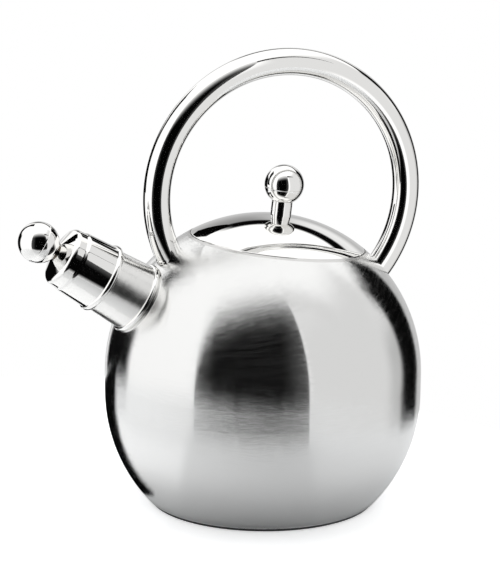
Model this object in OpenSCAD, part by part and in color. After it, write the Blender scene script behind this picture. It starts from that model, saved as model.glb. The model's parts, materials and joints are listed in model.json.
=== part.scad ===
// Stovetop whistling kettle: a ball body on a thick base, a fixed ring handle,
// a lift-off lid with a ball knob, and a pull-off whistle cap on the spout.
// The origin is the centre of the base on the hob. +Z is up, -X is the spout side.

/* [Body] */
// Radius of the ball body
body_r = 90; // [86:1:96]
// Straight band between the upper and the lower half of the ball
band_h = 12; // [8:1:16]
// Height of the centre of the upper half
centre_h = 75.5; // [73:0.5:78]
// Wall thickness of the body
wall = 1.0; // [0.8:0.1:1.2]
// Lean of the lid, the handle and the spout, away from the spout
lean = 6.2; // [0:0.1:8]

/* [Base] */
// Radius of the thick base
base_r = 64.3; // [60:0.1:65]
// Height of the thick base
base_h = 2.5; // [2:0.1:3]

/* [Lid] */
// Radius of the lid's rolled rim
lid_r = 49.6; // [46:0.1:52]
// Wall thickness of the lid
lid_wall = 0.8; // [0.6:0.1:1.0]
// Radius of the knob's ball
knob_r = 11.2; // [10:0.1:13]
// Centre of the knob's ball above the ball body's centre
knob_d = 107.6; // [105:0.1:112]
// Radius of the knob's stem
stem_r = 5.9; // [5:0.1:7]

/* [Handle] */
// Centre-line radius of the ring handle
handle_ring_r = 74.5; // [72:0.5:78]
// Centre of the ring above the ball body's centre
handle_d = 102.5; // [100:0.5:104]
// Outer radius of the handle's tube
handle_r = 7.6; // [7:0.1:8]

/* [Spout] */
// Angle of the spout above the leaned level
spout_rise = 26; // [22:0.5:28]
// Outer radius of the spout where it leaves the body
spout_r = 19.6; // [18:0.1:20]
// How far the spout reaches from the ball body's centre
spout_reach = 120; // [116:1:122]
// How much the spout narrows for each millimetre of its length
spout_taper = 0.063; // [0.05:0.001:0.07]

/* [Whistle cap] */
// Distance from the ball body's centre to the middle of the cap's rolled bead
bead_d = 113; // [112:0.5:114]
// Radius of the cap over the bead
bead_r = 20; // [19.8:0.1:20.4]
// Wall thickness of the cap
cap_wall = 0.5; // [0.4:0.1:0.6]
// Radius of the cap's ball
cap_ball_r = 11.5; // [10:0.1:12]
// Distance from the ball body's centre to the centre of the cap's ball
cap_ball_d = 154.6; // [154:0.1:158]

/* [Hidden] */

$fn = 96;
far = 200;                          // longer than any cut has to be
over = 1;                           // how far a cut runs past the face that it opens
low_centre = centre_h - band_h;     // height of the lower half's centre

// Base
base_skin = 0.6;                    // thickness of the steel cup under the disc
base_edge = 1.0;                    // rounding of its lower edge
base_bead = 0.6;                    // radius of the bead round its upper edge

// Mouth, in the leaned frame: radii across the axis, heights along it
mouth_hole_r = 51.5;                // hole in the upper shell
seat_gap = 0.4;
seat_r = lid_r + seat_gap;          // wall of the lid's recess
mouth_cut_d = 60;                   // the cut for the mouth starts here, inside the ball
rim_tube = 0.75;                    // radius of the lid's rolled rim
rim_ring_r = lid_r - rim_tube;
rim_h = sqrt(pow(body_r - rim_tube, 2) - pow(rim_ring_r, 2));
ledge_gap = 0.3;
ledge_h = rim_h - rim_tube - ledge_gap;
ledge_t = 1.0;
collar_in_r = 45;                   // inside of the down-turned collar
collar_h = 7;
dome_edge_r = rim_ring_r * body_r / (body_r - rim_tube);

// Lid
lid_in = body_r - lid_wall;
skirt_gap = 0.6;
skirt_r = collar_in_r - skirt_gap;
skirt_t = 0.8;
skirt_drop = 10;
skirt_flange_in = 38;
skirt_flange_t = 0.6;

// Knobs: the ball of each is a shell of two halves round a threaded boss
ball_wall = 1.2;
knob_seam_drop = 2;                 // the seam between the halves, below the ball's centre
knob_seam_d = knob_d - knob_seam_drop;
seam_w = 0.4;                       // side of the square cut along the seam
knob_flat_d = knob_d - sqrt(pow(knob_r, 2) - pow(stem_r, 2));
screw_r = 2.5;
screw_play = 0.05;
hole_play = 0.25;
boss_r = 4.2;
boss_h = 8;
screw_in = 6.5;                     // length of screw inside the boss
bore_spare = 0.5;                   // how much deeper the boss is drilled than that
washer_r = 6.5;
washer_t = 1.2;
head_r = 4.4;
head_h = 2.8;
slot_w = 1.2;
slot_deep = 1.3;
groove = 0.25;                      // depth and width of the lines round the stem
groove_drop = 0.75;                 // the upper one's place below the ball
groove_rise = 2.7;                  // the lower one's place above the lid's outside

// Handle
handle_wall = 1.2;
handle_end = 45;                    // the ring is turned this far below level, then trimmed
vent_r = 0.8;
vent_turn = 20;                     // the vent hole's place below level, near the front foot

// Spout: radius at a distance d from the ball body's centre
spout_wall = 0.8;
spout_foot = 85.5;                  // inner end of the spout's tube, just inside the shell
spout_root_d = 88.5;                // where the tube's radius is spout_r
spout_cut_from = 70;                // the spout's form, where it cuts other pieces
spout_cut_to = 110;
collar_arc = 1.6;                   // radius of the collar's round face
collar_stand = 1.3;                 // how far the collar stands out from the tube
collar_r = spout_r + collar_stand;
collar_d = 89.3;                    // its middle, which leaves a crease against the body
function spout_at(d) = spout_r - spout_taper * (d - spout_root_d);

// Whistle cap: a tapered cup with a small soft step, a round shoulder and a shallow cone
cap_gap = 0.34;                     // running gap between the spout and the cap
bead_tube = 2;                      // radius of the rolled bead
bead_flat = 0.05;                   // trimmed off the bead at the open end
cap_open_d = bead_d - bead_tube + bead_flat;
cap_step_d = 131.4;
cap_step = 0.6;
cap_step_l = 2.8;                   // the length over which the step falls
cap_shoulder_r = 3;
cap_shoulder_d = 137.3;
cap_slope = 17;                     // angle of the end cone
cap_neck_r = 5;                     // flat middle of the end, round the screw
cap_stem_r = 4.3;
cap_flat_d = cap_ball_d - sqrt(pow(cap_ball_r, 2) - pow(cap_stem_r, 2));
cap_shoulder_in = spout_at(cap_shoulder_d) + cap_gap + cap_wall - cap_step - cap_shoulder_r;
cap_washer_r = 4.8;
cap_washer_t = 1.0;
// Where the shoulder's arc meets the end cone, for the form shrunk by an inset
function arc_x(inset) = cap_shoulder_in + (cap_shoulder_r - inset) * sin(cap_slope);
function arc_d(inset) = cap_shoulder_d + (cap_shoulder_r - inset) * cos(cap_slope);
function end_d(inset) = arc_d(inset) + (arc_x(inset) - cap_neck_r) * tan(cap_slope);

// Whistle: two drilled plates a short way apart, held against a sprung sleeve
plate_t = 0.6;
plate_gap = 3.2;
plate_hole_r = 2.1;
sleeve_clear = 0.6;                 // from the spout's end to the sleeve's flange
sleeve_d = spout_reach + sleeve_clear;
plate_in_d = sleeve_d + plate_t;
spacer_d = plate_in_d + plate_t;
plate_out_d = spacer_d + plate_gap;
spacer_t = 1.2;
sleeve_back = 0.5;                  // the sleeve ends this far inside the cap's mouth
sleeve_in_d = cap_open_d + sleeve_back;
sleeve_gap = 0.3;                   // play in the spout's end, its narrowest place
sleeve_r = spout_at(spout_reach) - spout_wall - sleeve_gap;
sleeve_slits = 6;
slit_w = 1.2;
slit_end_d = 118;
vent_holes = 3;
vent_hole_turn = 105;               // the first hole's place round the cap, and the step
vent_hole_step = 30;
vent_hole_r = 1.7;
vent_hole_d = 128.5;

// +Z of the children runs along the leaned axis, from the ball body's centre
module leaned() { translate([0, 0, centre_h]) rotate([0, lean, 0]) children(); }

// +Z of the children runs along the spout, from the ball body's centre
module along_spout() { leaned() rotate([0, spout_rise - 90, 0]) children(); }

// A solid turned round +Z between two distances, its radius following the spout's taper
module taper(from, to, extra) {
    translate([0, 0, from])
        cylinder(r1 = spout_at(from) + extra, r2 = spout_at(to) + extra, h = to - from);
}

// Outline of the lower half: a quarter disc over a flat floor, and the straight band
module lower_outline(r, floor_h) {
    intersection() {
        translate([0, low_centre]) circle(r = r);
        translate([0, floor_h]) square([r, low_centre - floor_h]);
    }
    translate([0, low_centre]) square([r, band_h]);
}

// Quarter ring between two radii, above the centre
module quarter_ring(r_out, r_in) {
    intersection() {
        difference() {
            circle(r = r_out);
            circle(r = r_in);
        }
        square([r_out, r_out]);
    }
}

module lower_shell() {
    color("silver")
    rotate_extrude() difference() {
        lower_outline(body_r, base_h);
        lower_outline(body_r - wall, base_h + wall);
    }
}

module upper_shell() {
    color("silver")
    difference() {
        translate([0, 0, centre_h]) rotate_extrude() quarter_ring(body_r, body_r - wall);
        leaned() translate([0, 0, mouth_cut_d]) cylinder(r = mouth_hole_r, h = far);
        along_spout() taper(spout_cut_from, spout_cut_to, 0);
    }
}

// Stepped ring that seats the lid: recess wall, ledge and down-turned collar
module mouth_ring() {
    under = ledge_h - ledge_t;
    color("silver")
    leaned() rotate_extrude() intersection() {
        circle(r = body_r);
        polygon([
            [collar_in_r, under - collar_h], [collar_in_r + ledge_t, under - collar_h],
            [collar_in_r + ledge_t, under], [mouth_hole_r, under],
            [mouth_hole_r, body_r], [seat_r, body_r],
            [seat_r, ledge_h], [collar_in_r, ledge_h]
        ]);
    }
}

// Aluminium disc that spreads the heat, inside the base cap
module base_core() {
    color("gainsboro")
    translate([0, 0, base_skin]) cylinder(r = base_r - base_skin, h = base_h - base_skin);
}

// Thin steel cup pressed over the disc, with a rounded lower edge and a bead round the upper one
module base_cap() {
    color("silver")
    difference() {
        rotate_extrude() {
            square([base_r - base_edge, base_h]);
            translate([0, base_edge]) square([base_r, base_h - base_edge]);
            translate([base_r - base_edge, base_edge]) circle(r = base_edge);
            translate([base_r, base_h - base_bead]) circle(r = base_bead);
        }
        translate([0, 0, base_skin]) cylinder(r = base_r - base_skin, h = base_h);
    }
}

// Bent round tube, trimmed to the ball at both feet, with a vent hole near the front foot
module handle_tube() {
    color("silver")
    leaned() difference() {
        translate([0, 0, handle_d]) rotate([90, 0, 0])
            rotate_extrude(angle = 180 + 2 * handle_end, start = -handle_end)
                translate([handle_ring_r, 0]) difference() {
                    circle(r = handle_r);
                    circle(r = handle_r - handle_wall);
                }
        sphere(r = body_r);
        translate([0, 0, handle_d]) rotate([0, 180 - vent_turn, 0])
            translate([handle_ring_r - handle_r - over, 0, 0]) rotate([0, 90, 0])
                cylinder(r = vent_r, h = handle_wall + 2 * over);
    }
}

module spout_tube() {
    color("silver")
    along_spout() difference() {
        taper(spout_foot, spout_reach, 0);
        taper(spout_foot - over, spout_reach + over, -spout_wall);
    }
}

// Polished ring with a round face, where the spout meets the body
module spout_collar() {
    color("gainsboro")
    difference() {
        along_spout() difference() {
            rotate_extrude() intersection() {
                translate([collar_r - collar_arc, collar_d]) circle(r = collar_arc);
                translate([spout_r - over, spout_cut_from]) square(far);
            }
            taper(spout_cut_from, spout_cut_to, 0);
            sphere(r = body_r);
        }
        leaned() translate([0, 0, handle_d]) rotate([90, 0, 0]) rotate_extrude()
            translate([handle_ring_r, 0]) circle(r = handle_r);
    }
}

// Polished dome that carries the ball's outline on, with a rolled rim
module lid_dome() {
    color("gainsboro")
    leaned() difference() {
        rotate_extrude() {
            intersection() {
                quarter_ring(body_r, lid_in);
                square([dome_edge_r, body_r]);
            }
            translate([rim_ring_r, rim_h]) circle(r = rim_tube);
        }
        cylinder(r = screw_r + hole_play, h = far);
    }
}

// Ring inside the lid that drops into the mouth, with a flange spot-welded to the dome
module lid_skirt() {
    color("silver")
    leaned() rotate_extrude() intersection() {
        circle(r = lid_in);
        union() {
            translate([skirt_r - skirt_t, ledge_h - skirt_drop]) square([skirt_t, body_r]);
            difference() {
                translate([skirt_flange_in, 0])
                    square([skirt_r - skirt_flange_in, body_r]);
                circle(r = lid_in - skirt_flange_t);
            }
        }
    }
}

// Shell of a knob's ball between two distances along its axis, with its edge broken at the seam
module ball_part(centre, r, from, to, seam) {
    rotate_extrude() difference() {
        intersection() {
            translate([0, centre]) difference() {
                circle(r = r);
                circle(r = r - ball_wall);
            }
            translate([0, from]) square([2 * r, to - from]);
        }
        translate([sqrt(pow(r, 2) - pow(seam - centre, 2)), seam])
            rotate([0, 0, 45]) square(seam_w, center = true);
    }
}

// Half of a ball that stands on a flat floor and ends at the seam, drilled for the screw
module ball_foot_half(centre, r, from, to) {
    difference() {
        union() {
            ball_part(centre, r, from, to, to);
            rotate_extrude() intersection() {
                translate([0, centre]) circle(r = r);
                translate([0, from]) square([r, ball_wall]);
            }
        }
        translate([0, 0, from - over])
            cylinder(r = screw_r + hole_play, h = ball_wall + 2 * over);
    }
}

// Threaded boss inside a ball
module boss(from) {
    translate([0, 0, from]) difference() {
        cylinder(r = boss_r, h = boss_h);
        translate([0, 0, -over])
            cylinder(r = screw_r + screw_play, h = screw_in + bore_spare + over);
    }
}

// Cheese-head screw with a slot; it stands on its head at distance from
module screw(from, shank) {
    difference() {
        translate([0, 0, from - head_h]) cylinder(r = head_r, h = head_h);
        translate([-head_r, -slot_w / 2, from - head_h - over])
            cube([2 * head_r, slot_w, slot_deep + over]);
    }
    translate([0, 0, from]) cylinder(r = screw_r, h = shank);
}

module knob_stem() {
    color("gainsboro")
    leaned() difference() {
        translate([0, 0, lid_in]) cylinder(r = stem_r, h = knob_flat_d - lid_in);
        sphere(r = body_r);
        cylinder(r = screw_r + hole_play, h = far);
        for (d = [knob_flat_d - groove_drop, body_r + groove_rise])
            translate([0, 0, d]) difference() {
                cylinder(r = stem_r + over, h = groove);
                cylinder(r = stem_r - groove, h = groove);
            }
    }
}

module knob_ball_lower() {
    color("gainsboro")
    leaned() ball_foot_half(knob_d, knob_r, knob_flat_d, knob_seam_d);
}

module knob_ball_upper() {
    color("gainsboro")
    leaned() ball_part(knob_d, knob_r, knob_seam_d, knob_d + knob_r, knob_seam_d);
}

module knob_boss() {
    color("goldenrod")
    leaned() boss(knob_flat_d + ball_wall);
}

module knob_screw() {
    start = lid_in - washer_t;
    color("lightgray")
    leaned() screw(start, knob_flat_d + ball_wall + screw_in - start);
}

// Washer whose upper face follows the inside of the dome
module knob_washer() {
    start = lid_in - washer_t;
    hole_r = screw_r + hole_play;
    color("lightgray")
    leaned() rotate_extrude() intersection() {
        circle(r = lid_in, $fn = 720);
        translate([hole_r, start]) square([washer_r - hole_r, washer_t]);
    }
}

// Profile of a fall from one radius to a smaller one: an S of two equal arcs
module soft_step(from_r, to_r, from_d, length) {
    half = length / 2;
    drop = (from_r - to_r) / 2;
    arc = (pow(drop, 2) + pow(half, 2)) / (2 * drop);
    difference() {
        union() {
            translate([0, from_d]) square([from_r - arc, length]);
            intersection() {
                translate([from_r - arc, from_d]) circle(r = arc);
                translate([from_r - arc, from_d]) square([arc, half]);
            }
            translate([from_r - arc, from_d + half]) square([arc - drop, half]);
        }
        translate([to_r + arc, from_d + length]) circle(r = arc);
    }
}

// Form of the cap from a distance outwards, shrunk by an inset
module cap_form(from, inset) {
    skin = cap_gap + cap_wall - inset;
    step_end = cap_step_d + cap_step_l;
    taper(from, cap_step_d, skin);
    rotate_extrude() soft_step(
        spout_at(cap_step_d) + skin, spout_at(step_end) + skin - cap_step, cap_step_d, cap_step_l);
    taper(cap_step_d, cap_shoulder_d, skin - cap_step);
    rotate_extrude() {
        polygon([
            [0, from], [arc_x(inset), from], [arc_x(inset), arc_d(inset)],
            [cap_neck_r, end_d(inset)], [0, end_d(inset)]
        ]);
        translate([cap_shoulder_in, cap_shoulder_d]) circle(r = cap_shoulder_r - inset);
    }
}

// Drawn cup with a rolled bead at its open end, and vent holes low down at the back
module cap_shell() {
    color("gainsboro")
    along_spout() difference() {
        union() {
            cap_form(cap_open_d, 0);
            rotate_extrude() intersection() {
                translate([bead_r - bead_tube, bead_d]) circle(r = bead_tube);
                translate([cap_shoulder_in, cap_open_d]) square(far);
            }
        }
        cap_form(cap_open_d - over, cap_wall);
        cylinder(r = screw_r + hole_play, h = far);
        for (i = [0 : vent_holes - 1])
            rotate([0, 0, vent_hole_turn + vent_hole_step * i])
                translate([cap_shoulder_in, 0, vent_hole_d])
                    rotate([0, 90, 0]) cylinder(r = vent_hole_r, h = far);
    }
}

// A disc or ring that fills the cap's bore between two distances
module cap_disc(from, to, hole_r) {
    difference() {
        taper(from, to, cap_gap);
        translate([0, 0, from - over]) cylinder(r = hole_r, h = to - from + 2 * over);
    }
}

// Sleeve that grips inside the spout's end: sprung fingers behind a flange
module cap_spring_sleeve() {
    bore_r = sleeve_r - plate_t;
    color("silver")
    along_spout() {
        cap_disc(sleeve_d, sleeve_d + plate_t, bore_r);
        translate([0, 0, sleeve_in_d]) difference() {
            cylinder(r = sleeve_r, h = sleeve_d - sleeve_in_d);
            translate([0, 0, -over]) cylinder(r = bore_r, h = far);
            for (i = [0 : sleeve_slits - 1])
                rotate([0, 0, i * 360 / sleeve_slits])
                    translate([0, -slit_w / 2, -over])
                        cube([spout_r, slit_w, slit_end_d - sleeve_in_d + over]);
        }
    }
}

module whistle_plate_inner() {
    color("silver")
    along_spout() cap_disc(plate_in_d, plate_in_d + plate_t, plate_hole_r);
}

module whistle_spacer() {
    color("silver")
    along_spout() cap_disc(spacer_d, plate_out_d, spout_at(plate_out_d) + cap_gap - spacer_t);
}

module whistle_plate_outer() {
    color("silver")
    along_spout() cap_disc(plate_out_d, plate_out_d + plate_t, plate_hole_r);
}

module cap_stem() {
    color("dimgray")
    along_spout() translate([0, 0, end_d(0)]) difference() {
        cylinder(r = cap_stem_r, h = cap_flat_d - end_d(0));
        translate([0, 0, -over]) cylinder(r = screw_r + hole_play, h = far);
    }
}

module cap_ball_inner() {
    color("gainsboro")
    along_spout() ball_foot_half(cap_ball_d, cap_ball_r, cap_flat_d, cap_ball_d);
}

module cap_ball_outer() {
    color("gainsboro")
    along_spout() ball_part(cap_ball_d, cap_ball_r, cap_ball_d, cap_ball_d + cap_ball_r, cap_ball_d);
}

module cap_boss() {
    color("goldenrod")
    along_spout() boss(cap_flat_d + ball_wall);
}

module cap_screw() {
    start = end_d(cap_wall) - cap_washer_t;
    color("lightgray")
    along_spout() screw(start, cap_flat_d + ball_wall + screw_in - start);
}

module cap_washer() {
    color("lightgray")
    along_spout() translate([0, 0, end_d(cap_wall) - cap_washer_t]) difference() {
        cylinder(r = cap_washer_r, h = cap_washer_t);
        translate([0, 0, -over]) cylinder(r = screw_r + hole_play, h = far);
    }
}

lower_shell();
upper_shell();
mouth_ring();
base_core();
base_cap();
handle_tube();
spout_tube();
spout_collar();
lid_dome();
lid_skirt();
knob_stem();
knob_ball_lower();
knob_ball_upper();
knob_boss();
knob_screw();
knob_washer();
cap_shell();
cap_spring_sleeve();
whistle_plate_inner();
whistle_spacer();
whistle_plate_outer();
cap_stem();
cap_ball_inner();
cap_ball_outer();
cap_boss();
cap_screw();
cap_washer();
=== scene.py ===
"""Looks of the stovetop whistling kettle: metals, studio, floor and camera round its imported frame."""
import json
import math

import bpy
from mathutils import Matrix, Vector


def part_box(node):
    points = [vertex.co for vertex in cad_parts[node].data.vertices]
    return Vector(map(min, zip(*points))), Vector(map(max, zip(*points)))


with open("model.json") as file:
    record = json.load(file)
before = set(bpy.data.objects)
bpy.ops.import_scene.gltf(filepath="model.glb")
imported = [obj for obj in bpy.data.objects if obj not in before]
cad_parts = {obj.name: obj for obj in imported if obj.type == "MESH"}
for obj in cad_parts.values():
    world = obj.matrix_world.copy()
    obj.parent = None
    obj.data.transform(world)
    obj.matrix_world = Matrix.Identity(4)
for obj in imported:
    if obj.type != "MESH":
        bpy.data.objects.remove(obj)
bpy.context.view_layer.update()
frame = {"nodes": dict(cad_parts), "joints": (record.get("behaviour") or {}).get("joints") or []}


# Places, worked out from the frame, in metres
def joint_axis(name):
    """The axis of the joint of that name."""
    return Vector(next(j for j in frame["joints"] if j["name"] == name)["axis"]).normalized()


UP = Vector((0, 0, 1))
LID_AXIS = joint_axis("lid_lift")
SPOUT_AXIS = joint_axis("cap_pull")
BALL_CENTRE = Vector((0, 0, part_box("upper_shell")[0].z))
# The lower shell's brushing bends round a point this far above its foot
LOWER_RISE = 0.061
LOWER_CENTRE = Vector((0, 0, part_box("lower_shell")[0].z + LOWER_RISE))
# The base's painted highlight is a bright band on the top of its rim, and its edge fades over BEAD_EDGE
BEAD_TALL = 0.0009
BEAD_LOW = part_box("base_cap")[1].z - BEAD_TALL
BEAD_EDGE = 0.0003

# Camera: its place, and the way it looks, in degrees
CAMERA_PLACE = Vector((-0.4714, -1.3182, 0.4488))
CAMERA_HEADING = 19.36
CAMERA_PITCH = -13.1
CAMERA_ROLL = 0.52
CAMERA_LENS = 158.4
SENSOR = 36
CLIP_NEAR = 0.05
CLIP_FAR = 50

# Table: its radius, and its centre's distances to the right of the kettle and in front of it
TABLE_R = 0.36
TABLE_CENTRE = (-0.12, 0.1)
TABLE_SIDES = 128

# The dark opening round the camera: its edges' distances to the right of the kettle and in front of it
OPENING_LEFT = (-0.312, 0.319)
OPENING_RIGHT = (0.118, 0.226)
OPENING_LOW = -0.01
OPENING_HIGH = 0.60
# It lightens below OPENING_FOOT, above OPENING_HEAD and within these widths of its sides
OPENING_FOOT = 0.045
OPENING_HEAD = 0.33
OPENING_FADE_LEFT = 0.15
OPENING_FADE_RIGHT = 0.07
# How bright its edges are
GLOW_FOOT = 0.6
GLOW_HEAD = 0.85
GLOW_LEFT = 0.08
GLOW_RIGHT = 0.075
# A dark fold in the tent runs on from the opening's top right corner, and thins out
FOLD_END = 0.45
FOLD_ROOT = (0.47, 0.575)
FOLD_TIP = (0.56, 0.575)
# Small black cards round the kettle that only reflections show: their corners' distances
# to the right of the kettle, in front of it and above the table
BLACK_CARDS = {
    # A low flag that stands behind the kettle's left side, and its foot, which lies on the table
    "flag": ((-0.19, -0.07, 0), (-0.06, -0.07, 0), (-0.06, -0.07, 0.05), (-0.19, -0.07, 0.05)),
    "flag_foot": ((-0.19, -0.07, 0.0005), (-0.07, -0.07, 0.0005), (-0.07, 0.034, 0.0005),
                  (-0.165, -0.05, 0.0005)),
    # A narrow banner beyond the spout, which bends back as it rises
    "banner": ((-0.2, -0.008, 0.165), (-0.2, -0.03, 0.21), (-0.2, -0.04, 0.252), (-0.2, -0.045, 0.31),
               (-0.2, -0.06, 0.38), (-0.2, -0.2, 0.42), (-0.2, -0.14, 0.31), (-0.2, -0.09, 0.25),
               (-0.2, -0.085, 0.165)),
    # A patch behind the lid's left end
    "patch": ((-0.073, -0.085, 0.186), (-0.058, -0.085, 0.178), (-0.038, -0.085, 0.206),
              (-0.038, -0.085, 0.222), (-0.073, -0.085, 0.224)),
}

# How much light black cloth and a black card give
BLACK_CLOTH = 0.002
BLACK_CARD = 0.001

# Colours of the metals
SATIN_BODY = (0.82, 0.82, 0.812)
SATIN_SPOUT = (0.9, 0.895, 0.88)
# Painted shade: the base cap's colour is darkened to stand in for the shade near the table
BASE_PAINTED_SHADE = (0.12, 0.12, 0.12)
# Painted highlight: the bright colour on the top of the base's rim
BEAD_PAINTED_HIGHLIGHT = 0.95
DARK_STEM = (0.12, 0.1, 0.08)
ALUMINIUM = (0.8, 0.8, 0.8)
DRAWN_STEEL = (0.66, 0.655, 0.645)
BRASS = (0.72, 0.5, 0.2)
FASTENER = (0.6, 0.6, 0.61)
MIRROR = (0.93, 0.925, 0.91)


# Node building
def add(tree, kind, values=None, **settings):
    """A new node with these settings, its inputs set to values or linked to sockets."""
    node = tree.nodes.new(kind)
    for name, value in settings.items():
        setattr(node, name, value)
    for key, value in (values or {}).items():
        if isinstance(value, bpy.types.NodeSocket):
            tree.links.new(value, node.inputs[key])
        else:
            node.inputs[key].default_value = value
    return node


def calc(tree, operation, *values):
    """Output of a Math node."""
    node = add(tree, "ShaderNodeMath", dict(enumerate(values)), operation=operation)
    return node.outputs[0]


def vector_calc(tree, operation, *values, out="Vector"):
    """Output of a Vector Math node."""
    node = add(tree, "ShaderNodeVectorMath", dict(enumerate(values)), operation=operation)
    return node.outputs[out]


def ramp(tree, value, from_low, from_high, to_low=0.0, to_high=1.0):
    """value carried smoothly from one range to another, and held at its ends."""
    node = add(tree, "ShaderNodeMapRange", {
        "Value": value, "From Min": from_low, "From Max": from_high,
        "To Min": to_low, "To Max": to_high}, interpolation_type="SMOOTHSTEP")
    return node.outputs["Result"]


def window(tree, value, low, high, soft):
    """1 where value lies between low and high, 0 outside, with edges as wide as soft."""
    rise = ramp(tree, value, low - soft / 2, low + soft / 2)
    fall = ramp(tree, value, high - soft / 2, high + soft / 2, 1.0, 0.0)
    return calc(tree, "MULTIPLY", rise, fall)


def blend(tree, a, b, share):
    """a where share is 0 and b where it is 1."""
    node = add(tree, "ShaderNodeMix", {"Factor": share, "A": a, "B": b}, data_type="FLOAT")
    return node.outputs["Result"]


def noise(tree, vector, scale, detail=2.0, roughness=0.5):
    """Noise from 0 to 1."""
    node = add(tree, "ShaderNodeTexNoise", {
        "Vector": vector, "Scale": scale, "Detail": detail, "Roughness": roughness})
    return node.outputs["Fac"]


# Studio
def studio(front, side):
    """A white tent with a greyer side, a grey back wall, a dark band over the wall and black strips."""
    world = bpy.data.worlds.new("studio")
    bpy.context.scene.world = world
    world.use_nodes = True
    tree = world.node_tree
    tree.nodes.clear()
    way = add(tree, "ShaderNodeTexCoord").outputs["Generated"]
    to_front = vector_calc(tree, "DOT_PRODUCT", way, front, out="Value")
    to_side = vector_calc(tree, "DOT_PRODUCT", way, side, out="Value")
    height = add(tree, "ShaderNodeSeparateXYZ", {"Vector": way}).outputs["Z"]
    level = calc(tree, "DEGREES", calc(tree, "ARCSINE", height))
    bearing = calc(tree, "DEGREES", calc(tree, "ARCTAN2", to_side, to_front))
    to_back = calc(tree, "MULTIPLY", to_front, -1.0)
    from_back = calc(tree, "DEGREES", calc(tree, "ARCTAN2", to_side, to_back))

    def card(light, across, low, high, bottom, top, glow, soft, edge=4.0):
        """light, with a panel of that glow over it. Its edges and their softness are in degrees."""
        mask = calc(tree, "MULTIPLY", window(tree, across, low, high, soft),
                    window(tree, level, bottom, top, edge))
        return blend(tree, light, glow, mask)

    # The tent, and its greyer side on the right
    light = ramp(tree, level, -10.0, 60.0, 1.12, 1.15)
    light = card(light, bearing, 34, 118, -90, 52, 0.8, soft=8, edge=14)
    # The back wall, which darkens upwards on the left and is lit higher up on the right
    wall_right = ramp(tree, from_back, -5.0, 12.0, 0.0, 0.55)
    wall = calc(tree, "MULTIPLY_ADD", wall_right, ramp(tree, level, 6.0, 18.0),
                ramp(tree, level, -5.0, 26.0, 0.6, 0.3))
    light = card(light, from_back, -17, 75, -90, 28, wall, soft=14)
    # The dark band over the wall
    light = card(light, from_back, -14, 64, 25, 34, BLACK_CLOTH, soft=8, edge=3)
    # Two black strips that overlap on the left, and one on the right
    light = card(light, from_back, -66, -38, -60, 14, BLACK_CLOTH, soft=8, edge=8)
    light = card(light, from_back, -44, -22, -60, 10, BLACK_CLOTH, soft=6, edge=12)
    light = card(light, from_back, 30, 60, -60, 30, BLACK_CLOTH, soft=6, edge=6)
    # The camera sees a plain white backdrop
    seen = add(tree, "ShaderNodeLightPath").outputs["Is Camera Ray"]
    light = blend(tree, light, 1.0, seen)
    glow = add(tree, "ShaderNodeBackground", {"Color": (1, 1, 1, 1), "Strength": light})
    output = add(tree, "ShaderNodeOutputWorld")
    tree.links.new(glow.outputs[0], output.inputs["Surface"])


def floor(front, side):
    """A round white table top, which the camera sees as bright as the backdrop behind it."""
    mesh = bpy.data.meshes.new("floor")
    middle = side * TABLE_CENTRE[0] + front * TABLE_CENTRE[1]
    turns = [2 * math.pi * i / TABLE_SIDES for i in range(TABLE_SIDES)]
    rim = [middle + TABLE_R * Vector((math.cos(turn), math.sin(turn), 0)) for turn in turns]
    mesh.from_pydata(rim, [], [tuple(range(TABLE_SIDES))])
    table = bpy.data.objects.new("floor", mesh)
    bpy.context.scene.collection.objects.link(table)
    material = bpy.data.materials.new("floor_white")
    material.use_nodes = True
    tree = material.node_tree
    surface = tree.nodes["Principled BSDF"]
    place = add(tree, "ShaderNodeTexCoord").outputs["Object"]
    across = vector_calc(tree, "DOT_PRODUCT", place, side, out="Value")
    away = vector_calc(tree, "LENGTH", place, out="Value")
    ahead = vector_calc(tree, "DOT_PRODUCT", place, front, out="Value")
    turn = calc(tree, "DEGREES", calc(tree, "ARCTAN2", across, ahead))
    # Painted shade: half the painted light is taken out in the wedge of table that faces the dark opening
    painted_wedge_shade = calc(tree, "MULTIPLY_ADD", window(tree, turn, -44.0, 28.0, 8.0), -0.5, 1.0)
    # Painted light and shade: the table's glow is lighter on the left, a painted contact shadow against
    # the kettle's foot, and dimmer towards its rim
    painted_table_glow = calc(tree, "MULTIPLY", ramp(tree, across, -0.14, 0.06, 0.4, 0.12), ramp(tree, away, 0.065, 0.12))
    painted_table_glow = calc(tree, "MULTIPLY", painted_table_glow, ramp(tree, away, 0.12, 0.28, 1.0, 0.45))
    painted_table_glow = calc(tree, "MULTIPLY", painted_table_glow, painted_wedge_shade)
    surface.inputs["Base Color"].default_value = (0.85, 0.86, 0.87, 1)
    surface.inputs["Roughness"].default_value = 0.9
    surface.inputs["Specular IOR Level"].default_value = 0.0
    surface.inputs["Emission Color"].default_value = (1, 1, 1, 1)
    seen = add(tree, "ShaderNodeLightPath").outputs["Is Camera Ray"]
    # The table glows white to the camera, plus the painted light and shade of its glow for every ray
    tree.links.new(calc(tree, "MULTIPLY_ADD", seen, 0.55, painted_table_glow), surface.inputs["Emission Strength"])
    mesh.materials.append(material)


def hidden_card(name, front, side, corners):
    """A card that only reflections show, from corners given as distances right, ahead and up."""
    mesh = bpy.data.meshes.new(name)
    mesh.from_pydata([side * right + front * ahead + UP * height for right, ahead, height in corners],
                     [], [tuple(range(len(corners)))])
    card = bpy.data.objects.new(name, mesh)
    bpy.context.scene.collection.objects.link(card)
    card.visible_camera = False
    card.visible_shadow = False
    material = bpy.data.materials.new(name)
    material.use_nodes = True
    tree = material.node_tree
    tree.nodes.clear()
    light = add(tree, "ShaderNodeEmission", {"Strength": BLACK_CARD})
    output = add(tree, "ShaderNodeOutputMaterial")
    tree.links.new(light.outputs[0], output.inputs["Surface"])
    mesh.materials.append(material)
    return tree, light


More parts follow.
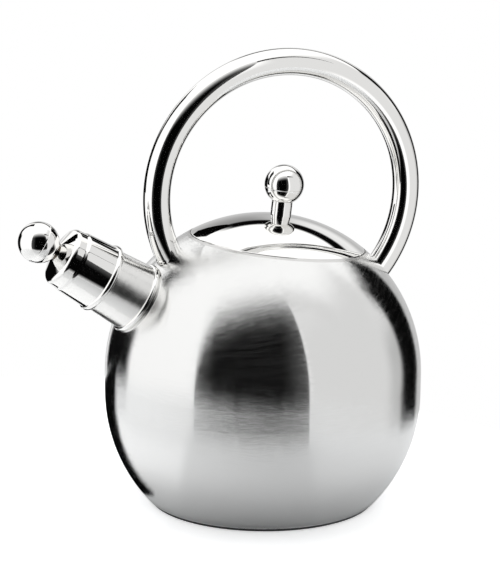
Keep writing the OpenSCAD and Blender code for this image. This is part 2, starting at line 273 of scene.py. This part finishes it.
def opening(front, side):
    """The dark opening in the tent, round the camera, with soft edges, and the fold beside it."""
    left, right = OPENING_LEFT, OPENING_RIGHT
    tree, light = hidden_card("opening", front, side, [
        (*left, OPENING_LOW), (*right, OPENING_LOW), (*right, OPENING_HIGH), (*left, OPENING_HIGH)])
    place = add(tree, "ShaderNodeTexCoord").outputs["Object"]
    height = add(tree, "ShaderNodeSeparateXYZ", {"Vector": place}).outputs["Z"]
    across = vector_calc(tree, "DOT_PRODUCT", place, side, out="Value")
    glow = ramp(tree, height, OPENING_LOW, OPENING_FOOT, GLOW_FOOT, 0.0)
    glow = calc(tree, "ADD", glow, ramp(tree, height, OPENING_HEAD, OPENING_HIGH, 0.0, GLOW_HEAD))
    glow = calc(tree, "ADD", glow,
                ramp(tree, across, left[0], left[0] + OPENING_FADE_LEFT, GLOW_LEFT, 0.0))
    glow = calc(tree, "ADD", glow,
                ramp(tree, across, right[0] - OPENING_FADE_RIGHT, right[0], BLACK_CARD, GLOW_RIGHT))
    tree.links.new(glow, light.inputs["Strength"])
    slope = (right[1] - left[1]) / (right[0] - left[0])
    tip = (FOLD_END, right[1] + slope * (FOLD_END - right[0]))
    hidden_card("fold", front, side, [
        (*right, FOLD_ROOT[0]), (*tip, FOLD_TIP[0]), (*tip, FOLD_TIP[1]), (*right, FOLD_ROOT[1])])


def black_cards(front, side):
    """The small black cards, which take no light from the table."""
    for name, corners in BLACK_CARDS.items():
        hidden_card(name, front, side, corners)
        bpy.data.objects[name].visible_diffuse = False


def camera():
    """The camera, set by its place, heading, pitch, roll and lens."""
    data = bpy.data.cameras.new("camera")
    data.lens = CAMERA_LENS
    data.sensor_width = SENSOR
    data.clip_start, data.clip_end = CLIP_NEAR, CLIP_FAR
    eye = bpy.data.objects.new("camera", data)
    bpy.context.scene.collection.objects.link(eye)
    turn = (Matrix.Rotation(math.radians(-CAMERA_HEADING), 4, "Z")
            @ Matrix.Rotation(math.radians(90 + CAMERA_PITCH), 4, "X")
            @ Matrix.Rotation(math.radians(CAMERA_ROLL), 4, "Z"))
    eye.matrix_world = Matrix.Translation(CAMERA_PLACE) @ turn
    bpy.context.scene.camera = eye


# Metals
def metal(name, colour):
    """A new metal material, its node tree and its shader."""
    material = bpy.data.materials.new(name)
    material.use_nodes = True
    tree = material.node_tree
    surface = tree.nodes["Principled BSDF"]
    surface.inputs["Metallic"].default_value = 1.0
    surface.inputs["Base Color"].default_value = (*colour, 1)
    return material, tree, surface


def turned_place(tree, centre, axis):
    """Height along an axis, distance from it and unit direction out from it, in metres."""
    place = add(tree, "ShaderNodeTexCoord").outputs["Object"]
    place = vector_calc(tree, "SUBTRACT", place, centre)
    height = vector_calc(tree, "DOT_PRODUCT", place, axis, out="Value")
    along = add(tree, "ShaderNodeVectorMath", {0: axis, "Scale": height}, operation="SCALE")
    out = vector_calc(tree, "SUBTRACT", place, along.outputs[0])
    radius = vector_calc(tree, "LENGTH", out, out="Value")
    return place, height, radius, vector_calc(tree, "NORMALIZE", out)


def lined(tree, direction, across, length, width):
    """Streaks of that length along a turned surface and that width across it, from 0 to 1."""
    run = add(tree, "ShaderNodeVectorMath", {0: direction, "Scale": 1 / length}, operation="SCALE")
    step = calc(tree, "MULTIPLY", across, 1 / width)
    stack = add(tree, "ShaderNodeCombineXYZ", {"Z": step}).outputs[0]
    return noise(tree, vector_calc(tree, "ADD", run.outputs[0], stack), 1.0, roughness=0.6)


def grooved(tree, surface, axis, slopes):
    """Tips the surface's normal across its grooves, which run round axis. slopes pairs noises with
    depths."""
    normal = add(tree, "ShaderNodeNewGeometry").outputs["Normal"]
    around = vector_calc(tree, "NORMALIZE", vector_calc(tree, "CROSS_PRODUCT", axis, normal))
    over = vector_calc(tree, "CROSS_PRODUCT", normal, around)
    tip = 0.0
    for streak, depth in slopes:
        tip = calc(tree, "MULTIPLY_ADD", calc(tree, "SUBTRACT", streak, 0.5), depth, tip)
    lift = add(tree, "ShaderNodeVectorMath", {0: over, "Scale": tip}, operation="SCALE").outputs[0]
    bent = vector_calc(tree, "NORMALIZE", vector_calc(tree, "ADD", normal, lift))
    tree.links.new(bent, surface.inputs["Normal"])
    tree.links.new(around, surface.inputs["Tangent"])


def paint(material, *nodes):
    """Gives the material to these CAD nodes."""
    for name in nodes:
        for slot in frame["nodes"][name].material_slots:
            slot.material = material


def brushed_ball(name, centre, tilt):
    """Satin steel, brushed round the ball; tilt turns the brushing towards the spout at the top."""
    material, tree, surface = metal(name, SATIN_BODY)
    place = add(tree, "ShaderNodeTexCoord").outputs["Object"]
    out = vector_calc(tree, "NORMALIZE", vector_calc(tree, "SUBTRACT", place, centre))
    high = add(tree, "ShaderNodeSeparateXYZ", {"Vector": out}).outputs["Z"]
    lean = calc(tree, "MULTIPLY", ramp(tree, high, 0.05, 0.75), -math.tan(math.radians(tilt)))
    axis = vector_calc(tree, "NORMALIZE",
                       add(tree, "ShaderNodeCombineXYZ", {"X": lean, "Z": 1.0}).outputs[0])
    rise = calc(tree, "ARCSINE", vector_calc(tree, "DOT_PRODUCT", out, axis, out="Value"))
    sway = noise(tree, out, 3.0, 1.0)
    across = calc(tree, "MULTIPLY_ADD", sway, 0.05, rise)
    # Hairs too fine to see blur the reflections across the brushing, and coarser lines show as streaks
    hair = lined(tree, out, across, 0.08, 0.0001)
    fine = lined(tree, out, across, 0.2, 0.0026)
    grooved(tree, surface, axis, [(hair, 0.95), (fine, 0.045)])
    tree.links.new(ramp(tree, fine, 0.42, 0.66, 0.06, 0.2), surface.inputs["Roughness"])
    surface.inputs["Anisotropic"].default_value = 0.55
    surface.inputs["Anisotropic Rotation"].default_value = 0.25
    return material


def turned(name, colour, centre, axis, rough=0.2, spread=0.1, groove=0.2, painted_highlight_from=None):
    """Steel finished on a lathe: lines round an axis. groove is how steep their flanks are, and the
    last argument the height above which its colour is brightened as a painted highlight."""
    material, tree, surface = metal(name, colour)
    place, height, radius, out = turned_place(tree, centre, axis)
    across = calc(tree, "SUBTRACT", height, radius)
    hair = lined(tree, out, across, 0.5, 0.0002)
    fine = lined(tree, out, across, 0.4, 0.0008)
    grooved(tree, surface, axis, [(hair, groove), (fine, groove / 8)])
    smudge = noise(tree, place, 60.0, 3.0)
    tree.links.new(ramp(tree, smudge, 0.35, 0.65, rough, rough + spread), surface.inputs["Roughness"])
    # Painted highlight: the colour brightens above that height
    if painted_highlight_from:
        painted_highlight_tone = ramp(tree, height, painted_highlight_from, painted_highlight_from + BEAD_EDGE, colour[0], BEAD_PAINTED_HIGHLIGHT)
        tree.links.new(painted_highlight_tone, surface.inputs["Base Color"])
    surface.inputs["Anisotropic"].default_value = 0.5
    surface.inputs["Anisotropic Rotation"].default_value = 0.25
    return material


def polished(name):
    """Mirror-polished steel with the faint waves and smears that buffing and hands leave."""
    material, tree, surface = metal(name, MIRROR)
    place = add(tree, "ShaderNodeTexCoord").outputs["Object"]
    place = vector_calc(tree, "SUBTRACT", place, BALL_CENTRE)
    smear = noise(tree, place, 45.0, 4.0, 0.6)
    tree.links.new(ramp(tree, smear, 0.35, 0.75, 0.02, 0.06), surface.inputs["Roughness"])
    wave = noise(tree, place, 30.0, 0.0)
    bump = add(tree, "ShaderNodeBump", {"Strength": 0.2, "Distance": 0.00003, "Height": wave})
    tree.links.new(bump.outputs[0], surface.inputs["Normal"])
    return material


def metals():
    """Gives every CAD node its metal."""
    paint(brushed_ball("satin_upper", BALL_CENTRE, 18), "upper_shell")
    paint(brushed_ball("satin_lower", LOWER_CENTRE, 0), "lower_shell")
    paint(turned("satin_spout", SATIN_SPOUT, BALL_CENTRE, SPOUT_AXIS, spread=0.06, groove=0.3),
          "spout_tube")
    # The base cap is painted dark as shade, with a painted highlight on the top of its rim
    paint(turned("satin_base_painted_shade", BASE_PAINTED_SHADE, Vector(), UP, rough=0.22, groove=0.3, painted_highlight_from=BEAD_LOW), "base_cap")
    paint(turned("dark_stem", DARK_STEM, BALL_CENTRE, SPOUT_AXIS, rough=0.15), "cap_stem")
    paint(turned("aluminium", ALUMINIUM, Vector(), UP, rough=0.35, groove=0.3), "base_core")
    paint(turned("drawn_mouth", DRAWN_STEEL, BALL_CENTRE, LID_AXIS), "mouth_ring", "lid_skirt")
    paint(turned("drawn_whistle", DRAWN_STEEL, BALL_CENTRE, SPOUT_AXIS),
          "cap_spring_sleeve", "whistle_plate_inner", "whistle_spacer", "whistle_plate_outer")
    paint(turned("brass", BRASS, BALL_CENTRE, LID_AXIS), "knob_boss", "cap_boss")
    paint(turned("fastener", FASTENER, BALL_CENTRE, LID_AXIS),
          "knob_screw", "knob_washer", "cap_screw", "cap_washer")
    paint(polished("mirror_lid"), "lid_dome", "knob_stem", "knob_ball_lower", "knob_ball_upper")
    paint(polished("mirror_spout"), "cap_shell", "cap_ball_inner", "cap_ball_outer", "spout_collar")
    paint(polished("mirror_handle"), "handle_tube")


front_way = Vector((CAMERA_PLACE.x, CAMERA_PLACE.y, 0)).normalized()
side_way = Vector((-front_way.y, front_way.x, 0))
studio(front_way, side_way)
opening(front_way, side_way)
black_cards(front_way, side_way)
floor(front_way, side_way)
camera()
metals()
bpy.context.scene.view_settings.view_transform = "Standard"
